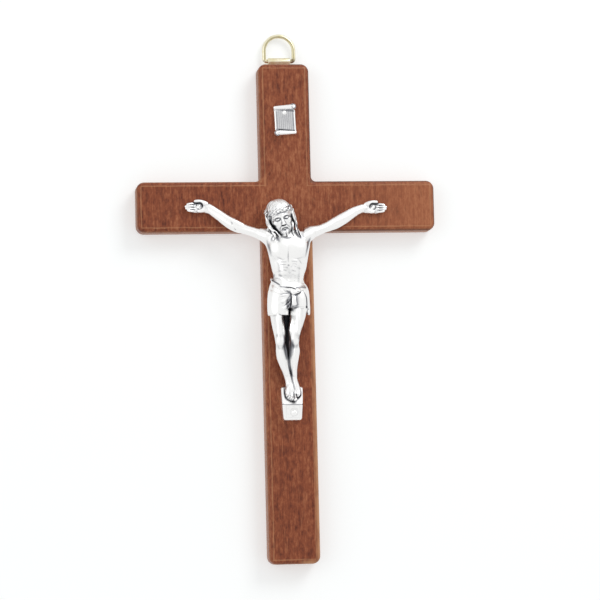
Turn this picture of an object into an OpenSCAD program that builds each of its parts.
// Wall crucifix: a wooden cross cut from one board, a cast figure and scroll nailed to it,
// and a D-ring in a folded brass strap at the back of its head.
// The origin is on the flat back, where the middles of the two bars cross.
// Z points up, the figure faces -Y and the wall is at +Y.

/* [Cross] */
// Height of the wooden cross
cross_h = 200; // [170:1:240]
// Width across the arms
cross_w = 120; // [110:1:150]
// Thickness of the board
cross_t = 9; // [8:0.5:14]
// Width of the upright
upright_w = 20.5; // [18:0.5:26]
// Height of the crossbar
bar_h = 20.2; // [18:0.1:26]
// Length of the upright above the crossbar's middle
head_len = 57.6; // [52:0.1:80]
// Corner radius of the bars' ends, seen from the front
corner_r = 3.2; // [2.5:0.1:5]
// Fillet radius in the four inner corners
inner_r = 2; // [1:0.1:4]
// Rounding of the front edges
front_round = 1.8; // [1:0.1:2.4]
// Rounding of the back edges
back_round = 1; // [0.5:0.1:2]

/* [Figure] */
// Height of the figure, from the foot of its ledge to the crown of the head
figure_h = 88.4; // [76:0.2:92]
// Depth of the ledge's foot below the crossbar's middle
figure_drop = 85.8; // [76:0.2:90]

/* [Scroll] */
// Width of the scroll's sheet
scroll_w = 8.6; // [7:0.1:10]
// Height of the scroll between the middles of its two rolls
scroll_h = 10.4; // [9:0.1:14]
// Thickness of the scroll's sheet
scroll_t = 0.9; // [0.7:0.1:1.4]
// Depth of the scroll's middle below the top of the wood
scroll_drop = 23; // [18:0.2:26]
// Turn of the scroll on its pin, in degrees
scroll_turn = 2; // [-4:0.5:4]
// Radius of the rolls at their thin ends
roll_thin_r = 0.75; // [0.6:0.05:1]
// Radius of the rolls at their thick ends
roll_thick_r = 1.25; // [1:0.05:1.5]

/* [Nails] */
// Radius of the nails' shanks
shank_r = 0.5; // [0.4:0.05:0.7]
// Radius of the nails' heads
nail_head_r = 0.9; // [0.8:0.05:1.1]
// Height of the nails' heads
nail_head_h = 0.5; // [0.4:0.05:0.6]
// Depth that a nail reaches into the wood
nail_bite = 6; // [4:0.5:6.5]
// Gap round a shank in its hole in the wood
nail_slack = 0.03; // [0.02:0.01:0.05]
// Gap round a shank in the cast figure
cast_slack = 0.13; // [0.08:0.01:0.2]
// Gap round a head in the hollow that it stands in
head_slack = 0.28; // [0.2:0.02:0.4]

/* [Hanger] */
// Radius of the ring's wire
wire_r = 0.82; // [0.7:0.02:0.9]
// Radius of the ring's arch, to the middle of the wire
arch_r = 6; // [5.8:0.1:7]
// Height of the arch's centre above the ring's bar
arch_rise = 4.2; // [3.6:0.1:6]
// Bend radius at the two ends of the bar, to the middle of the wire
bend_r = 1.1; // [1:0.02:1.2]
// Height of the ring's bar above the top of the wood
bar_up = 2.2; // [1.8:0.1:3]
// Place of the hanger across the upright, from its middle
hanger_x = -0.8; // [-1.5:0.1:1.5]
// Width of the folded strap
strap_w = 9; // [7:0.1:9]
// Thickness of the strap's sheet
strap_t = 0.45; // [0.35:0.05:0.5]
// Length of the strap's leaves below the top of the wood
strap_len = 8.5; // [7:0.5:12]
// Gap between the ring's bar and the strap's eye
eye_gap = 0.06; // [0.03:0.01:0.1]
// Depth of the recess that the strap lies in
recess_d = 1.9; // [1.9:0.05:2.2]
// Gap between the strap and the sides of its recess
recess_gap = 0.4; // [0.3:0.1:0.8]
// Corner radius that the cutter leaves in the recess
cutter_r = 1; // [0.6:0.1:1.5]

/* [Hidden] */

wood = [0.54, 0.32, 0.23];
silver = [0.78, 0.78, 0.79];
brass = [0.86, 0.78, 0.5];
overrun = 0.5;
round_fn = 48;

// Steps of the cross's rounded corners and edges
arc_steps = 5;
front_steps = 4;
back_steps = 2;
corner_n = arc_steps + 1;
foot_len = cross_h - head_len;

// Each corner of the cross, counter-clockwise from the front:
// place across, place up, angle of the first outward normal, turn
corners = [
    [-upright_w / 2, -foot_len, 180, 90], [upright_w / 2, -foot_len, 270, 90],
    [upright_w / 2, -bar_h / 2, 0, -90], [cross_w / 2, -bar_h / 2, 270, 90],
    [cross_w / 2, bar_h / 2, 0, 90], [upright_w / 2, bar_h / 2, 90, -90],
    [upright_w / 2, head_len, 0, 90], [-upright_w / 2, head_len, 90, 90],
    [-upright_w / 2, bar_h / 2, 180, -90], [-cross_w / 2, bar_h / 2, 90, 90],
    [-cross_w / 2, -bar_h / 2, 180, 90], [-upright_w / 2, -bar_h / 2, 270, -90]];
inner_corners = [2, 5, 8, 11];

// Levels of the cross from its front face to its back face, as inset and place
levels = [
    for (i = [0:front_steps]) let(a = 90 * i / front_steps)
        [front_round * (1 - sin(a)), -cross_t + front_round * (1 - cos(a))],
    for (i = [back_steps:-1:0]) let(a = 90 * i / back_steps)
        [back_round * (1 - sin(a)), -back_round * (1 - cos(a))]];

// The figure is measured in shares: 100 make its height. A row of a table of shares gives
// the place to the right, forward of the wood and up from the ledge's foot,
// then half the width and half the depth.
share = figure_h / 100;
figure_origin = [0, -cross_t, -figure_drop];

// Derived sizes of the nails and the hanger
shank_hole_r = shank_r + nail_slack;
cast_hole_r = shank_r + cast_slack;
head_hole_r = nail_head_r + head_slack;
hand_nail_shares = [[-40.1, 1.6, 96.9], [39.1, 1.6, 96]];
foot_nail_share = [0.3, 5.6, 3.7];
scroll_up = head_len - scroll_drop;
pin_up = 0.3 * scroll_h;
bar_z = head_len + bar_up;
eye_r = wire_r + eye_gap;
eye_out_r = eye_r + strap_t;
strap_y = strap_t - recess_d;
strap_nail_z = head_len - strap_len / 2;
hanger_bite = nail_bite - recess_d;
leaf_back_y = strap_y + strap_t;
bar_half = arch_r - bend_r;

function unit(v) = v / norm(v);
function bump(x) = exp(-x * x);
function flipped(faces) = [for (f = faces) [f[2], f[1], f[0]]];

// Triangles between rings of n points, from the first ring to the last of m
function wall_faces(n, m) = [
    for (k = [0:m - 2]) for (i = [0:n - 1]) let(j = (i + 1) % n)
        each [[k * n + i, (k + 1) * n + i, k * n + j], [k * n + j, (k + 1) * n + i, (k + 1) * n + j]]];

// One corner of the cross drawn in by an inset: an arc, or a fillet where the corner is an inner one
function corner_arc(c, inset) =
    let(k = c[3] > 0 ? corner_r : -inner_r,
        normals = [for (a = [c[2], c[2] + c[3]]) [cos(a), sin(a)]],
        middle = [c[0], c[1]] - k * (normals[0] + normals[1]))
    [for (i = [0:arc_steps]) let(a = c[2] + c[3] * i / arc_steps) middle + (k - inset) * [cos(a), sin(a)]];
function cross_ring(inset, y) = [for (c = corners) for (p = corner_arc(c, inset)) [p[0], y, p[1]]];

// A flat face of the cross: one fan round its middle, and one more in each of the four bars
function cap_faces(base, middle) =
    let(n = corner_n, total = len(corners) * n)
    [for (q = [0:3])
        let(first = inner_corners[q] * n, last = first + arc_steps, next = inner_corners[(q + 1) % 4] * n)
        each concat(
            [for (i = [first:last - 1]) [middle, base + i, base + i + 1]],
            [[middle, base + last, base + next]],
            [for (i = [1:2 * n]) [base + last, base + (last + i) % total, base + (last + i + 1) % total]])];

module cross_blank() {
    n = len(corners) * corner_n;
    m = len(levels);
    points = concat(
        [for (l = levels) each cross_ring(l[0], l[1])],
        [[0, levels[0][1], 0], [0, levels[m - 1][1], 0]]);
    faces = concat(
        wall_faces(n, m),
        cap_faces(0, n * m),
        flipped(cap_faces((m - 1) * n, n * m + 1)));
    polyhedron(points, flipped(faces));
}

// A slot open at the top of the wood, with the round corners that a cutter leaves
module strap_recess() {
    half_w = strap_w / 2 + recess_gap;
    low_z = head_len - strap_len - recess_gap;
    translate([hanger_x, overrun, 0]) rotate([90, 0, 0]) linear_extrude(recess_d + overrun) {
        translate([-half_w, low_z + cutter_r]) square([2 * half_w, strap_len + overrun]);
        translate([cutter_r - half_w, low_z]) square([2 * (half_w - cutter_r), 2 * cutter_r]);
        for (x = [cutter_r - half_w, half_w - cutter_r])
            translate([x, low_z + cutter_r]) circle(cutter_r, $fn = round_fn);
    }
}

// A straight hole from a face of the wood, going in along the given direction, 1 or -1
module nail_hole(depth, direction) {
    rotate([-90 * direction, 0, 0]) translate([0, 0, -overrun])
        cylinder(h = depth + overrun + nail_slack, r = shank_hole_r, $fn = round_fn);
}

module wooden_cross() {
    color(wood) difference() {
        cross_blank();
        strap_recess();
        for (s = concat(hand_nail_shares, [foot_nail_share]))
            translate([s[0] * share, -cross_t, s[2] * share - figure_drop]) nail_hole(nail_bite, 1);
        on_scroll([0, 0, pin_up]) nail_hole(nail_bite, 1);
        translate([hanger_x, -recess_d, strap_nail_z]) nail_hole(hanger_bite, -1);
    }
}

// A round-headed nail: its head rests at y = 0 and its shank goes in along +Y
module nail(grip) {
    tip = 2 * shank_r;
    dome_r = (nail_head_r * nail_head_r + nail_head_h * nail_head_h) / (2 * nail_head_h);
    rotate([-90, 0, 0]) {
        cylinder(h = grip - tip, r = shank_r, $fn = round_fn);
        translate([0, 0, grip - tip]) cylinder(h = tip, r1 = shank_r, r2 = shank_r / 4, $fn = round_fn);
        intersection() {
            translate([0, 0, dome_r - nail_head_h]) sphere(dome_r, $fn = round_fn);
            translate([0, 0, -nail_head_h]) cylinder(h = nail_head_h, r = nail_head_r, $fn = round_fn);
        }
    }
}

module figure_nail(s) {
    color(silver) translate(place(s)) nail(s[1] * share + nail_bite);
}

module left_hand_nail() {
    figure_nail(hand_nail_shares[0]);
}

module right_hand_nail() {
    figure_nail(hand_nail_shares[1]);
}

module foot_nail() {
    figure_nail(foot_nail_share);
}

// Puts a piece on the turned scroll, where y = 0 is the face of the wood
module on_scroll(p) {
    translate([0, -cross_t, scroll_up]) rotate([0, -scroll_turn, 0]) translate(p) children();
}

module scroll_pin() {
    color(silver) on_scroll([0, -scroll_t, pin_up]) nail(scroll_t + nail_bite);
}

// A roll of the scroll: a cone lying along the sheet's edge, ending in a curl that shows its eye
module scroll_roll() {
    half = scroll_w / 2;
    eye = roll_thick_r / 3;
    slope = atan((roll_thick_r - roll_thin_r) / scroll_w);
    difference() {
        union() {
            translate([-half, -roll_thin_r, 0]) rotate([0, 90, 0]) rotate([slope, 0, 0])
                cylinder(h = scroll_w / cos(slope), r1 = roll_thin_r, r2 = roll_thick_r, $fn = round_fn);
            translate([half, 0, 0]) rotate([90, 0, 0])
                cylinder(h = 2 * roll_thick_r, r = roll_thick_r, $fn = round_fn);
        }
        translate([half, -2 * roll_thick_r, 0]) rotate([90, 0, 0]) rotate_extrude($fn = round_fn)
            translate([2 * eye, 0]) circle(eye / 2, $fn = round_fn / 2);
        translate([-scroll_w, 0, -scroll_h]) cube([2 * scroll_w, scroll_t, 2 * scroll_h]);
    }
}

module scroll() {
    half = scroll_w / 2;
    edge_w = scroll_w / 12;
    field_d = scroll_t / 3;
    color(silver) on_scroll([0, 0, 0]) difference() {
        union() {
            difference() {
                translate([-half, -scroll_t, -scroll_h / 2]) cube([scroll_w, scroll_t, scroll_h]);
                translate([edge_w - half, -scroll_t - overrun, -scroll_h / 2])
                    cube([scroll_w - 2 * edge_w, field_d + overrun, scroll_h]);
            }
            translate([0, -scroll_t, pin_up]) rotate([-90, 0, 0])
                cylinder(h = scroll_t, r = nail_head_r, $fn = round_fn);
            translate([0, 0, scroll_h / 2]) scroll_roll();
            translate([0, 0, -scroll_h / 2]) rotate([0, 180, 0]) scroll_roll();
        }
        translate([0, -scroll_t - overrun, pin_up]) rotate([-90, 0, 0])
            cylinder(h = scroll_t + 2 * overrun, r = shank_hole_r, $fn = round_fn);
    }
}

// The strap's section: the eye, and the two leaves pressed together below it
module strap_section() {
    neck = [strap_t, -bar_up];
    toward = atan2(neck[1], neck[0]);
    spread = acos(eye_out_r / norm(neck));
    touch = eye_out_r * [cos(toward + spread), sin(toward + spread)];
    circle(eye_out_r, $fn = round_fn);
    polygon([[-neck[0], neck[1]], neck, touch, [-touch[0], touch[1]]]);
    translate([-strap_t, -bar_up - strap_len]) square([2 * strap_t, strap_len]);
}

module hanger_strap() {
    color(brass) difference() {
        translate([hanger_x - strap_w / 2, strap_y, bar_z]) rotate([90, 0, 90])
            linear_extrude(strap_w) strap_section();
        translate([hanger_x - strap_w / 2 - overrun, strap_y, bar_z]) rotate([0, 90, 0])
            cylinder(h = strap_w + 2 * overrun, r = eye_r, $fn = round_fn);
        translate([hanger_x, -recess_d - overrun, strap_nail_z]) rotate([-90, 0, 0])
            cylinder(h = 2 * strap_t + 2 * overrun, r = shank_hole_r, $fn = round_fn);
    }
}

module hanger_nail() {
    color(brass) translate([hanger_x, leaf_back_y, strap_nail_z]) rotate([0, 0, 180])
        nail(2 * strap_t + hanger_bite);
}

// A piece of the ring's wire along an arc in the plane of the ring
module wire_arc(radius, from, turn) {
    rotate([90, 0, 0]) rotate([0, 0, from]) rotate_extrude(angle = turn, $fn = round_fn)
        translate([radius, 0]) circle(wire_r, $fn = round_fn);
}

// A bend at one end of the bar, and the leg from it up to the arch
module ring_side() {
    translate([bar_half, 0, bend_r]) wire_arc(bend_r, -90, 90);
    translate([arch_r, 0, bend_r]) cylinder(h = arch_rise - bend_r, r = wire_r, $fn = round_fn);
}

module d_ring() {
    color(brass) translate([hanger_x, strap_y, bar_z]) {
        translate([-bar_half, 0, 0]) rotate([0, 90, 0])
            cylinder(h = 2 * bar_half, r = wire_r, $fn = round_fn);
        ring_side();
        mirror([1, 0, 0]) ring_side();
        translate([0, 0, arch_rise]) wire_arc(arch_r, 0, 180);
    }
}

// Sections of the trunk, from the hips to the foot of the neck
trunk_shares = [
    [0.3, 5.0, 57.0, 8.0, 4.6], [0.3, 5.0, 60.5, 7.8, 4.5], [0.3, 5.0, 63.0, 6.9, 4.3],
    [0.3, 5.1, 65.2, 6.7, 4.2], [0.3, 5.4, 67.8, 7.3, 4.6], [0.3, 5.7, 70.8, 8.2, 5.1],
    [0.2, 5.9, 75.2, 9.2, 5.6], [0.1, 5.9, 78.8, 9.9, 5.6], [-0.3, 5.6, 81.8, 9.8, 4.9],
    [-0.4, 5.3, 84.2, 7.2, 3.9], [-0.8, 5.6, 86.0, 3.4, 3.0]];
neck_shares = [[-0.6, 5.8, 83.5, 3.0, 2.6], [-1.6, 6.6, 87.0, 2.6, 2.5], [-3.0, 7.6, 90.0, 2.6, 2.5]];

// The arms from the shoulder to the wrist, as the viewer sees them
left_arm_shares = [
    [-7.8, 5.6, 81.6, 3.6, 3.4], [-11.3, 5.3, 83.5, 2.9, 2.8], [-14.5, 4.7, 84.6, 2.1, 2.2],
    [-17.5, 4.2, 85.8, 2.0, 2.1], [-20.2, 3.8, 86.9, 2.3, 2.0], [-22.4, 3.5, 87.8, 2.6, 1.9],
    [-25.4, 3.1, 89.3, 2.7, 1.9], [-28.6, 2.7, 91.2, 2.5, 1.8], [-32.0, 2.2, 93.5, 2.1, 1.6],
    [-35.3, 1.8, 95.8, 1.9, 1.4]];
right_arm_shares = [
    [7.4, 5.6, 81.4, 3.6, 3.4], [10.8, 5.3, 83.9, 2.8, 2.8], [14.3, 4.6, 85.2, 2.3, 2.2],
    [17.6, 4.1, 86.6, 2.2, 2.1], [20.2, 3.8, 87.8, 2.5, 2.0], [22.8, 3.4, 89.0, 2.7, 1.9],
    [26.8, 2.8, 91.2, 2.5, 1.8], [31.0, 2.1, 94.0, 2.1, 1.6], [34.4, 1.8, 95.6, 1.9, 1.4]];

// A hand from the wrist outward, counted from its nail
palm_shares = [
    [-5.0, 1.8, -1.2, 1.9, 1.4], [-3.0, 1.6, -0.3, 2.2, 1.4], [-1.2, 1.4, 0.1, 2.7, 1.4],
    [0.8, 1.3, 0.2, 2.8, 1.3], [2.3, 1.3, 0.1, 2.5, 1.1]];
finger_shares = [
    [[2.5, 1.3, 1.9, 0.65, 0.6], [4.1, 1.6, 1.7, 0.62, 0.6], [5.4, 2.1, 1.5, 0.5, 0.5]],
    [[2.6, 1.3, 0.65, 0.65, 0.6], [4.5, 1.6, 0.6, 0.62, 0.6], [6.2, 2.1, 0.5, 0.5, 0.5]],
    [[2.6, 1.3, -0.6, 0.65, 0.6], [4.4, 1.6, -0.55, 0.62, 0.6], [6.0, 2.1, -0.5, 0.5, 0.5]],
    [[2.4, 1.3, -1.75, 0.62, 0.6], [3.9, 1.6, -1.6, 0.6, 0.6], [5.2, 2.1, -1.4, 0.48, 0.48]]];
thumb_shares = [[-2.0, 1.8, 1.9, 0.9, 0.9], [0.0, 2.1, 2.9, 0.85, 0.8], [2.4, 2.3, 2.9, 0.6, 0.6]];

// The legs from the hip to the instep, as the viewer sees them
left_leg_shares = [
    [-4.6, 5.3, 56.6, 4.4, 4.4], [-5.5, 5.8, 51.1, 3.6, 3.8], [-5.6, 6.4, 47.0, 2.9, 3.2],
    [-5.1, 7.0, 42.1, 2.8, 2.9], [-4.9, 7.5, 38.6, 2.6, 2.6], [-4.8, 7.8, 35.3, 2.1, 2.4],
    [-4.7, 7.4, 33.2, 1.9, 2.2], [-4.3, 6.7, 30.6, 2.1, 2.5], [-3.6, 6.0, 27.6, 2.2, 2.5],
    [-2.6, 5.2, 24.4, 2.0, 2.1], [-1.6, 4.6, 21.1, 1.7, 1.8], [-0.8, 4.2, 17.8, 1.6, 1.6],
    [-0.5, 4.3, 15.4, 1.9, 1.6], [-0.5, 4.8, 12.9, 2.3, 1.3], [-0.46, 5.9, 10.78, 2.3, 0.9]];
right_leg_shares = [
    [5.2, 5.3, 56.6, 4.4, 4.4], [5.0, 5.8, 51.3, 3.5, 3.8], [4.4, 6.3, 48.1, 3.1, 3.4],
    [3.6, 6.8, 44.4, 3.1, 3.1], [2.7, 7.2, 40.6, 2.9, 2.8], [2.1, 7.5, 38.0, 2.4, 2.5],
    [2.1, 7.5, 35.3, 2.0, 2.3], [2.3, 7.1, 33.2, 2.0, 2.2], [2.5, 6.5, 30.8, 2.3, 2.5],
    [2.3, 5.8, 27.8, 2.1, 2.4], [1.9, 5.0, 24.8, 1.9, 2.0], [1.7, 4.4, 21.6, 1.6, 1.7],
    [1.7, 3.9, 18.4, 1.4, 1.5], [2.3, 3.8, 15.6, 1.5, 1.5], [2.8, 4.2, 13.2, 1.6, 1.2],
    [2.8, 5.1, 11.4, 1.5, 0.9]];
// The web of metal that joins the thighs at the back
web_shares = [
    [-0.4, 2.4, 51, 3.4, 2.2], [-0.9, 2.4, 44, 2.8, 2.2], [-1.1, 2.4, 38, 2.2, 2.1],
    [-1.2, 2.2, 33, 1.4, 1.8]];
// Toes, as place across, forward, up at the root, up at the tip, and radius
left_toe_shares = [
    [-2.2, 5.5, 11.6, 10.6, 0.5], [-1.31, 5.8, 11.37, 9.9, 0.52], [-0.47, 6.1, 10.97, 9.3, 0.55],
    [0.43, 6.3, 10.85, 8.8, 0.6], [1.5, 6.4, 10.8, 8.4, 0.8]];
right_toe_shares = [
    [1.7, 5.4, 11.5, 10.0, 0.7], [2.5, 5.2, 11.6, 10.3, 0.5], [3.2, 5.0, 11.9, 10.8, 0.48],
    [3.8, 4.7, 12.4, 11.4, 0.45]];
// How far a toe reaches forward for each step that it drops
toe_slope_share = 0.69;

// The ledge from its top edge to its foot: middle, forward, up, half width
ledge_shares = [[0.6, 2.2, 14.0, 5.0], [0.1, 6.9, 7.0, 4.6], [0.3, 5.2, 0, 4.1]];
ledge_edge_share = 0.5;

// The loincloth: the wrap round the hips, the drape over each thigh, and the loose pieces
wrap_shares = [
    [0.1, 5.3, 53.5, 9.0, 5.2], [0.0, 5.4, 56.8, 9.2, 5.4], [0.1, 5.2, 60.4, 8.6, 5.0],
    [0.2, 5.1, 63.2, 7.5, 4.5]];
left_drape_shares = [
    [-5.1, 5.9, 48.3, 4.2, 4.3], [-5.2, 5.9, 49.1, 4.8, 4.9], [-4.9, 5.8, 52.6, 5.2, 5.3],
    [-4.0, 5.6, 57.0, 5.5, 5.4], [-3.0, 5.4, 61.0, 5.2, 5.0]];
right_drape_shares = [
    [4.9, 5.9, 51.2, 4.1, 4.3], [4.98, 5.9, 51.9, 4.6, 4.8], [4.8, 5.8, 54.6, 4.9, 5.2],
    [4.2, 5.5, 58.2, 5.0, 5.1]];
band_shares = [
    [-7.6, 3.4, 64.8, 1.3, 0.9], [-7.0, 6.6, 63.9, 1.3, 0.9], [-5.0, 8.9, 61.9, 1.3, 0.9],
    [-2.0, 10.0, 59.7, 1.3, 0.9], [1.2, 10.4, 58.6, 1.4, 1.0], [4.4, 9.8, 59.0, 1.3, 0.9],
    [7.0, 8.0, 60.0, 1.3, 0.9], [8.6, 5.2, 60.8, 1.3, 0.9]];
knot_shares = [[0.9, 10.9, 57.6, 1.3], [2.6, 10.8, 57.9, 1.2]];
tongue_shares = [[1.6, 10.8, 57.2, 1.3, 0.7], [1.9, 10.9, 54.6, 1.7, 0.6], [2.1, 10.6, 51.6, 1.5, 0.5]];
tail_shares = [
    [8.4, 6.4, 60.6, 1.0, 1.2], [9.2, 6.4, 57.0, 1.0, 1.6], [9.4, 6.2, 53.0, 0.9, 1.8],
    [9.6, 6.0, 49.6, 0.8, 1.7], [9.3, 5.8, 47.6, 0.6, 1.2]];

// The head, counted from its own middle; the last three numbers of an egg are its half sizes
head_share = [-3.35, 8.54, 91.17];
head_size_share = 1.08;
head_turns = [15, -17.5, 0];
skull_shares = [0, -0.3, 1.4, 4.5, 5.0, 4.8];
cap_shares = [0, -0.9, 2.4, 5.6, 5.6, 5.5];
window_shares = [0, 6.6, -2.2, 4.2, 4.6, 5.4];
chin_shares = [0, 2.7, -4.3, 1.7];
nose_shares = [[0, 4.4, 0.6, 0.5], [0, 5.2, -1.9, 0.75]];
eye_shares = [[-1.75, 3.5, 0.1, 0.9], [1.75, 3.5, 0.1, 0.9]];
brow_shares = [[[-2.8, 3.1, 0.9, 0.6], [-0.8, 4.2, 1.0, 0.6]], [[0.8, 4.2, 1.0, 0.6], [2.8, 3.1, 0.9, 0.6]]];
lip_shares = [[-1.0, 4.1, -3.8, 0.5], [0, 4.4, -3.7, 0.6], [1.0, 4.1, -3.8, 0.5]];
beard_shares = [[-2.6, 1.3, -3.4, 1.3], [2.6, 1.3, -3.4, 1.3], [0, 3.0, -5.6, 1.5]];
crown_radius_share = 5.7;
crown_up_share = 2.6;
crown_back_share = 0.9;
strand_share = 0.55;

// Locks of hair, as the viewer sees them
lock_shares = [
    [[-7.2, 8.2, 96.6, 1.3, 1.3], [-8.8, 7.9, 92.8, 1.5, 1.6], [-8.3, 7.9, 88.6, 1.3, 1.5],
        [-6.9, 8.0, 85.0, 1.2, 1.2], [-6.9, 8.0, 82.0, 1.1, 1.0], [-5.6, 8.6, 79.8, 0.8, 0.7]],
    [[-6.4, 9.6, 93.0, 1.1, 1.1], [-7.2, 9.6, 89.0, 1.1, 1.2], [-5.9, 9.4, 85.6, 1.0, 1.0],
        [-5.2, 9.4, 82.4, 0.9, 0.9], [-4.2, 9.6, 80.8, 0.6, 0.6]],
    [[0.8, 9.0, 96.0, 1.3, 1.3], [2.3, 8.7, 92.4, 1.4, 1.5], [3.0, 8.2, 89.0, 1.2, 1.4],
        [3.6, 7.9, 85.8, 1.1, 1.2], [4.6, 8.0, 82.8, 0.9, 0.9]],
    [[0.6, 10.0, 92.0, 1.0, 1.0], [1.6, 9.8, 88.6, 1.0, 1.1], [2.4, 9.4, 85.4, 0.9, 1.0],
        [3.2, 9.2, 82.2, 0.7, 0.7]]];

plain = function(angle, along) 1;
// The chest stands out on both sides of a groove down the middle, over a hollow belly
chest = function(angle, along)
    1 + 0.07 * (bump((angle - 58) / 20) + bump((angle - 122) / 20)) * bump((along - 0.74) / 0.12)
    - 0.05 * bump((angle - 90) / 9) * bump((along - 0.6) / 0.35)
    + 0.03 * (bump((angle - 68) / 9) + bump((angle - 112) / 9)) * bump((along - 0.4) / 0.2);
// Folds of cloth that run with the piece
folds = function(angle, along) 1 + 0.05 * cos(7 * angle + 110 * along) * (1 - 0.6 * along);

function local(row) = [row[0], -row[1], row[2]] * share;
function place(row) = figure_origin + local(row);

// A smooth curve through rows of numbers, with a number of steps between each two
function spline(rows, steps) = [
    for (i = [0:len(rows) - 2]) for (j = [0:steps - 1])
        let(a = rows[max(i - 1, 0)], b = rows[i], c = rows[i + 1], d = rows[min(i + 2, len(rows) - 1)],
            t = j / steps, curve = 2 * a - 5 * b + 4 * c - d, twist = 3 * b - a - 3 * c + d)
        b + (c - a) * t / 2 + curve * t * t / 2 + twist * t * t * t / 2,
    rows[len(rows) - 1]];

// A row beyond the end of a limb: out by a part of the limb's radius, and drawn in
function beyond(last, before, out, keep) =
    let(ends = [for (r = [last, before]) [r[0], r[1], r[2]]],
        p = ends[0] + unit(ends[0] - ends[1]) * out * (last[3] + last[4]) / 2)
    [p[0], p[1], p[2], last[3] * keep, last[4] * keep];
function rounded(rows) =
    let(n = len(rows))
    concat(
        [for (q = [[1, 0.1], [0.6, 0.8]]) beyond(rows[0], rows[1], q[0], q[1])],
        rows,
        [for (q = [[0.6, 0.8], [1, 0.1]]) beyond(rows[n - 1], rows[n - 2], q[0], q[1])]);

// A ring of points round a row, across the limb's own direction
function limb_ring(rows, k, sides, relief, facing) =
    let(m = len(rows) - 1,
        along = unit(local(rows[min(k + 1, m)]) - local(rows[max(k - 1, 0)])),
        front = unit(facing - along * (facing * along)),
        side = cross(along, front))
    [for (i = [0:sides - 1])
        let(a = 360 * i / sides, r = relief(a, k / m) * share)
        local(rows[k]) + side * cos(a) * rows[k][3] * r + front * sin(a) * rows[k][4] * r];

// A limb through rows of shares: oval sections whose depth lies towards the given direction
module limb(rows, sides, steps, relief = plain, facing = [0, -1, 0], ends = true) {
    path = ends ? rounded(spline(rows, steps)) : spline(rows, steps);
    m = len(path);
    points = [for (k = [0:m - 1]) each limb_ring(path, k, sides, relief, facing)];
    caps = [[for (i = [sides - 1:-1:0]) i], [for (i = [0:sides - 1]) (m - 1) * sides + i]];
    polyhedron(points, concat(flipped(wall_faces(sides, m)), caps));
}

module ball(s, sides = 10) {
    translate(local(s)) sphere(s[3] * share, $fn = sides);
}

module egg(s, sides = 20) {
    translate(local(s)) scale([s[3], s[4], s[5]] * share) sphere(1, $fn = sides);
}

module trunk() {
    limb(trunk_shares, 24, 2, chest);
    limb(neck_shares, 10, 1);
}

// One hand, outward along X in the direction given as 1 or -1
module hand(nail, outward) {
    turned = function(s) [nail[0] + outward * s[0], s[1], nail[2] + s[2], s[3], s[4]];
    limb([for (s = palm_shares) turned(s)], 12, 1);
    limb([for (s = thumb_shares) turned(s)], 6, 1);
    for (f = finger_shares) limb([for (s = f) turned(s)], 6, 1);
}

module arms() {
    limb(left_arm_shares, 12, 1);
    limb(right_arm_shares, 12, 1);
    hand(hand_nail_shares[0], -1);
    hand(hand_nail_shares[1], 1);
}

module toe(s) {
    hull() {
        ball([s[0], s[1], s[2], s[4]], 6);
        ball([s[0], s[1] + toe_slope_share * (s[2] - s[3]), s[3] + s[4], s[4]], 6);
    }
}

module legs() {
    limb(left_leg_shares, 14, 1);
    limb(right_leg_shares, 14, 1);
    limb(web_shares, 8, 1);
    for (s = concat(left_toe_shares, right_toe_shares)) toe(s);
}

module ledge() {
    e = ledge_edge_share;
    hull() for (s = ledge_shares) for (x = [e - s[3], s[3] - e]) {
        ball([s[0] + x, s[1] - e, s[2] + (s[2] > 0 ? 0 : e), e], 8);
        ball([s[0] + x, 0, s[2] + (s[2] > 0 ? 0 : e), e], 8);
    }
}

module loincloth() {
    limb(wrap_shares, 36, 1, folds, ends = false);
    limb(left_drape_shares, 28, 1, folds, ends = false);
    limb(right_drape_shares, 28, 1, folds, ends = false);
    limb(band_shares, 8, 2, facing = [0, 0, 1]);
    limb(tongue_shares, 8, 1);
    limb(tail_shares, 8, 1);
    hull() for (s = knot_shares) ball(s);
}

// Two strands that twist round each other as they go round the head
module crown() {
    steps = 20;
    twists = 8;
    for (phase = [0, 180])
        limb([for (i = [0:steps])
            let(a = 360 * i / steps, b = twists * a + phase, r = crown_radius_share + strand_share * cos(b))
            [r * cos(a), r * sin(a) - crown_back_share, crown_up_share + strand_share * sin(b),
                strand_share, strand_share]],
            5, 1, facing = [0, 0, 1]);
}

module head() {
    translate(local(head_share)) rotate(head_turns) scale(head_size_share) {
        hull() {
            egg(skull_shares);
            ball(chin_shares);
        }
        difference() {
            egg(cap_shares);
            egg(window_shares);
        }
        for (row = concat([nose_shares, lip_shares], brow_shares)) hull() for (s = row) ball(s, 8);
        for (s = eye_shares) ball(s, 8);
        hull() for (s = beard_shares) ball(s);
        crown();
    }
    for (rows = lock_shares) limb(rows, 7, 2);
}

module corpus() {
    reach = figure_h / 10;
    color(silver) translate(figure_origin) difference() {
        union() {
            trunk();
            arms();
            legs();
            ledge();
            loincloth();
            head();
        }
        translate([-figure_h, 0, -figure_h]) cube([2, 1, 3] * figure_h);
        for (s = concat(hand_nail_shares, [foot_nail_share])) translate(local(s)) rotate([90, 0, 0]) {
            cylinder(h = reach, r = head_hole_r, $fn = 24);
            translate([0, 0, -reach]) cylinder(h = 2 * reach, r = cast_hole_r, $fn = 24);
        }
    }
}

wooden_cross();
corpus();
left_hand_nail();
right_hand_nail();
foot_nail();
scroll();
scroll_pin();
hanger_strap();
hanger_nail();
d_ring();
